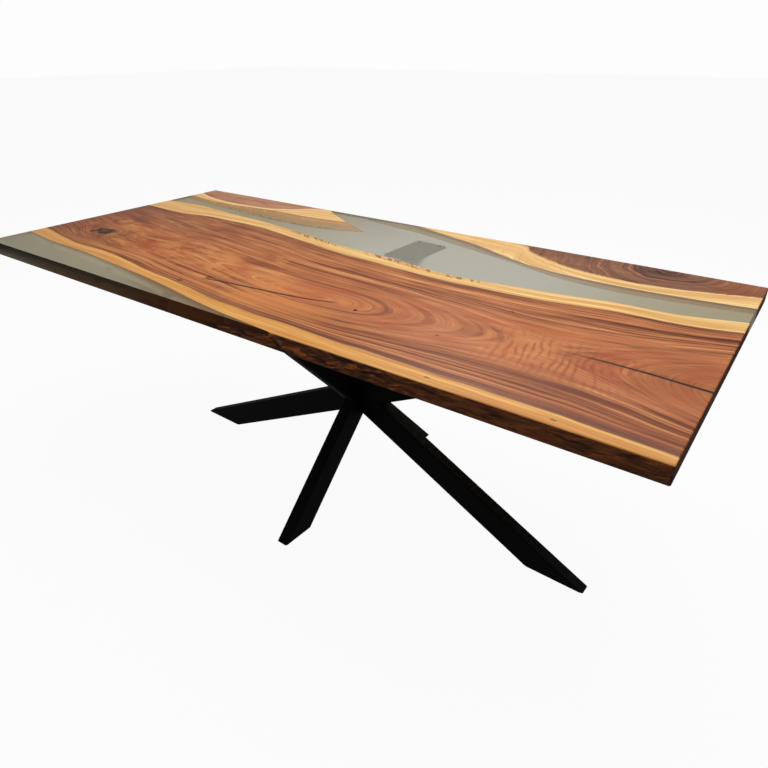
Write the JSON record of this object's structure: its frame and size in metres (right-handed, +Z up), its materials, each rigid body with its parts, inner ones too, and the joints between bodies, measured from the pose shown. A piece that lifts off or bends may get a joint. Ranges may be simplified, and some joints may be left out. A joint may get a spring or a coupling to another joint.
{
  "type": "dining table",
  "caption": "Rectangular dining table: live-edge wood slabs cast flush in clear tinted resin, carried on a crossed base of sloping rectangular steel tubes.",
  "frame": {"origin": "on the floor, below the middle of the table top", "axes": "+X along the length of the table, +Y towards its back edge, +Z up; the resin corner is at -X, -Y"},
  "size_m": [2.2, 0.98, 0.76],
  "materials": {
    "central_wood": "satin lacquer over a red-brown heart with streaks, honey sapwood along its grown edges",
    "back_left_wood": "satin lacquer over red-brown wood with a honey rim",
    "back_right_wood": "satin lacquer over dark curly wood with a honey rim",
    "river_resin": "clear gloss resin with a grey-green tint",
    "corner_resin": "clear gloss resin with an olive tint",
    "crack_resin": "dark gloss resin",
    "base_steel": "fine black powder coat",
    "plate_steel": "fine black powder coat",
    "glide_pad": "matt black",
    "fastener_steel": "dark zinc"
  },
  "bodies": {
    "root": {"central_slab": "central_wood", "back_left_slab": "back_left_wood", "back_right_slab": "back_right_wood", "river_resin": "river_resin", "corner_resin": "corner_resin", "heart_crack_fill": "crack_resin", "end_crack_fill": "crack_resin", "pin_knot_fill": "crack_resin", "hub_core": "base_steel", "right_leg": "base_steel", "right_arm": "base_steel", "back_leg": "base_steel", "back_arm": "base_steel", "left_leg": "base_steel", "left_arm": "base_steel", "front_leg": "base_steel", "front_arm": "base_steel", "right_mounting_plate": "plate_steel", "back_mounting_plate": "plate_steel", "left_mounting_plate": "plate_steel", "front_mounting_plate": "plate_steel", "right_foot_plate": "plate_steel", "back_foot_plate": "plate_steel", "left_foot_plate": "plate_steel", "front_foot_plate": "plate_steel", "right_floor_glide": "glide_pad", "back_floor_glide": "glide_pad", "left_floor_glide": "glide_pad", "front_floor_glide": "glide_pad", "mounting_screws": "fastener_steel"}
  },
  "joints": []
}
